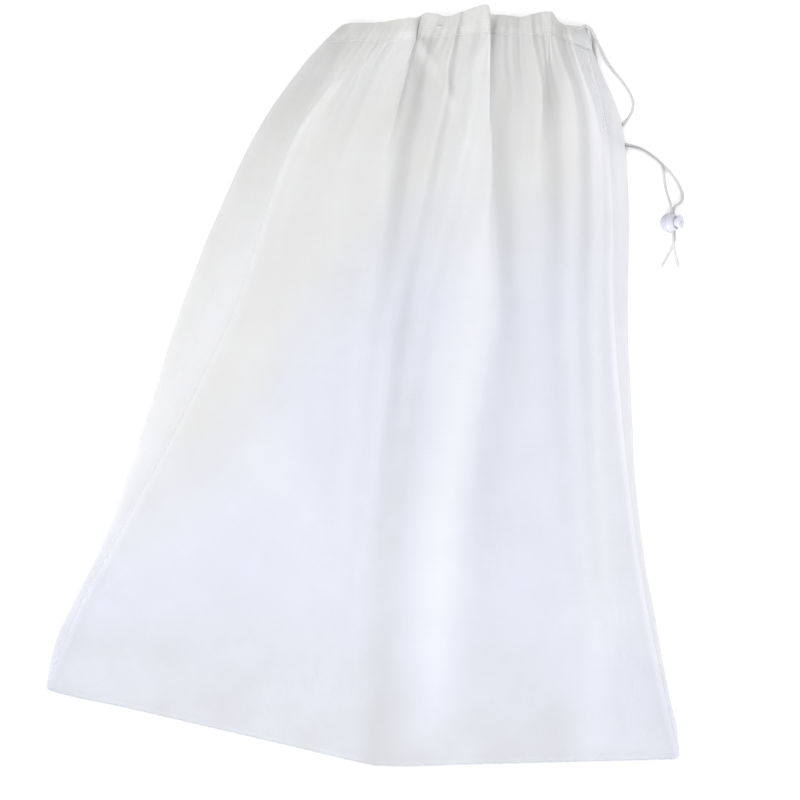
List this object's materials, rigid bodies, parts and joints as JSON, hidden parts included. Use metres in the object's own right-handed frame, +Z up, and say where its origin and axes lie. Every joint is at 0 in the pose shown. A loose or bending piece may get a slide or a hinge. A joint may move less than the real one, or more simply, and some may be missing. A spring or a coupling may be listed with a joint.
{
  "type": "drawstring mesh produce bag",
  "caption": "Large fine-mesh drawstring bag lying flat with its mouth gathered, a cord through its casing and a spring ball cord lock on the two cord ends.",
  "frame": {"origin": "on the table under the middle of the bag's outline, without the free cord ends", "axes": "+Y from the bottom hem to the mouth, +X to the side where the cord leaves, seen from above with the mouth away from the viewer, +Z up from the table"},
  "size_m": [0.559, 0.6603, 0.042],
  "materials": {
    "mesh": "fine translucent white polyester mesh",
    "casing_mesh": "the same mesh, doubled over",
    "seam_tape": "overlocked seam allowance of the mesh",
    "thread": "white polyester sewing thread",
    "cord": "braided white polyester cord",
    "lock_plastic": "moulded white plastic, soft gloss",
    "button_plastic": "moulded white plastic, soft gloss",
    "spring_steel": "drawn spring wire"
  },
  "bodies": {
    "bag": {"front_panel": "mesh", "back_panel": "mesh", "left_side_seam": "seam_tape", "right_side_seam": "seam_tape", "bottom_seam": "seam_tape", "left_seam_thread": "thread", "right_seam_thread": "thread", "bottom_seam_thread": "thread", "front_casing": "casing_mesh", "back_casing": "casing_mesh", "front_casing_thread": "thread", "back_casing_thread": "thread", "drawcord": "cord", "front_cord_tail": "cord", "back_cord_tail": "cord"},
    "cord_lock": {"cord_lock_barrel": "lock_plastic", "cord_lock_spring": "spring_steel"},
    "lock_button": {"cord_lock_plunger": "button_plastic"}
  },
  "joints": [
    {"name": "cord_lock_slide", "type": "slide", "parent": "bag", "child": "cord_lock", "axis": [0.0993, -0.9951, 0], "range_m": [0, 0.004]},
    {"name": "button_press", "type": "slide", "parent": "cord_lock", "child": "lock_button", "axis": [-0.8151, -0.0814, -0.5736], "range_m": [0, 0.0024], "stiffness_N_per_m": 200, "springref_m": -0.003, "deforming": ["cord_lock_spring"]}
  ]
}
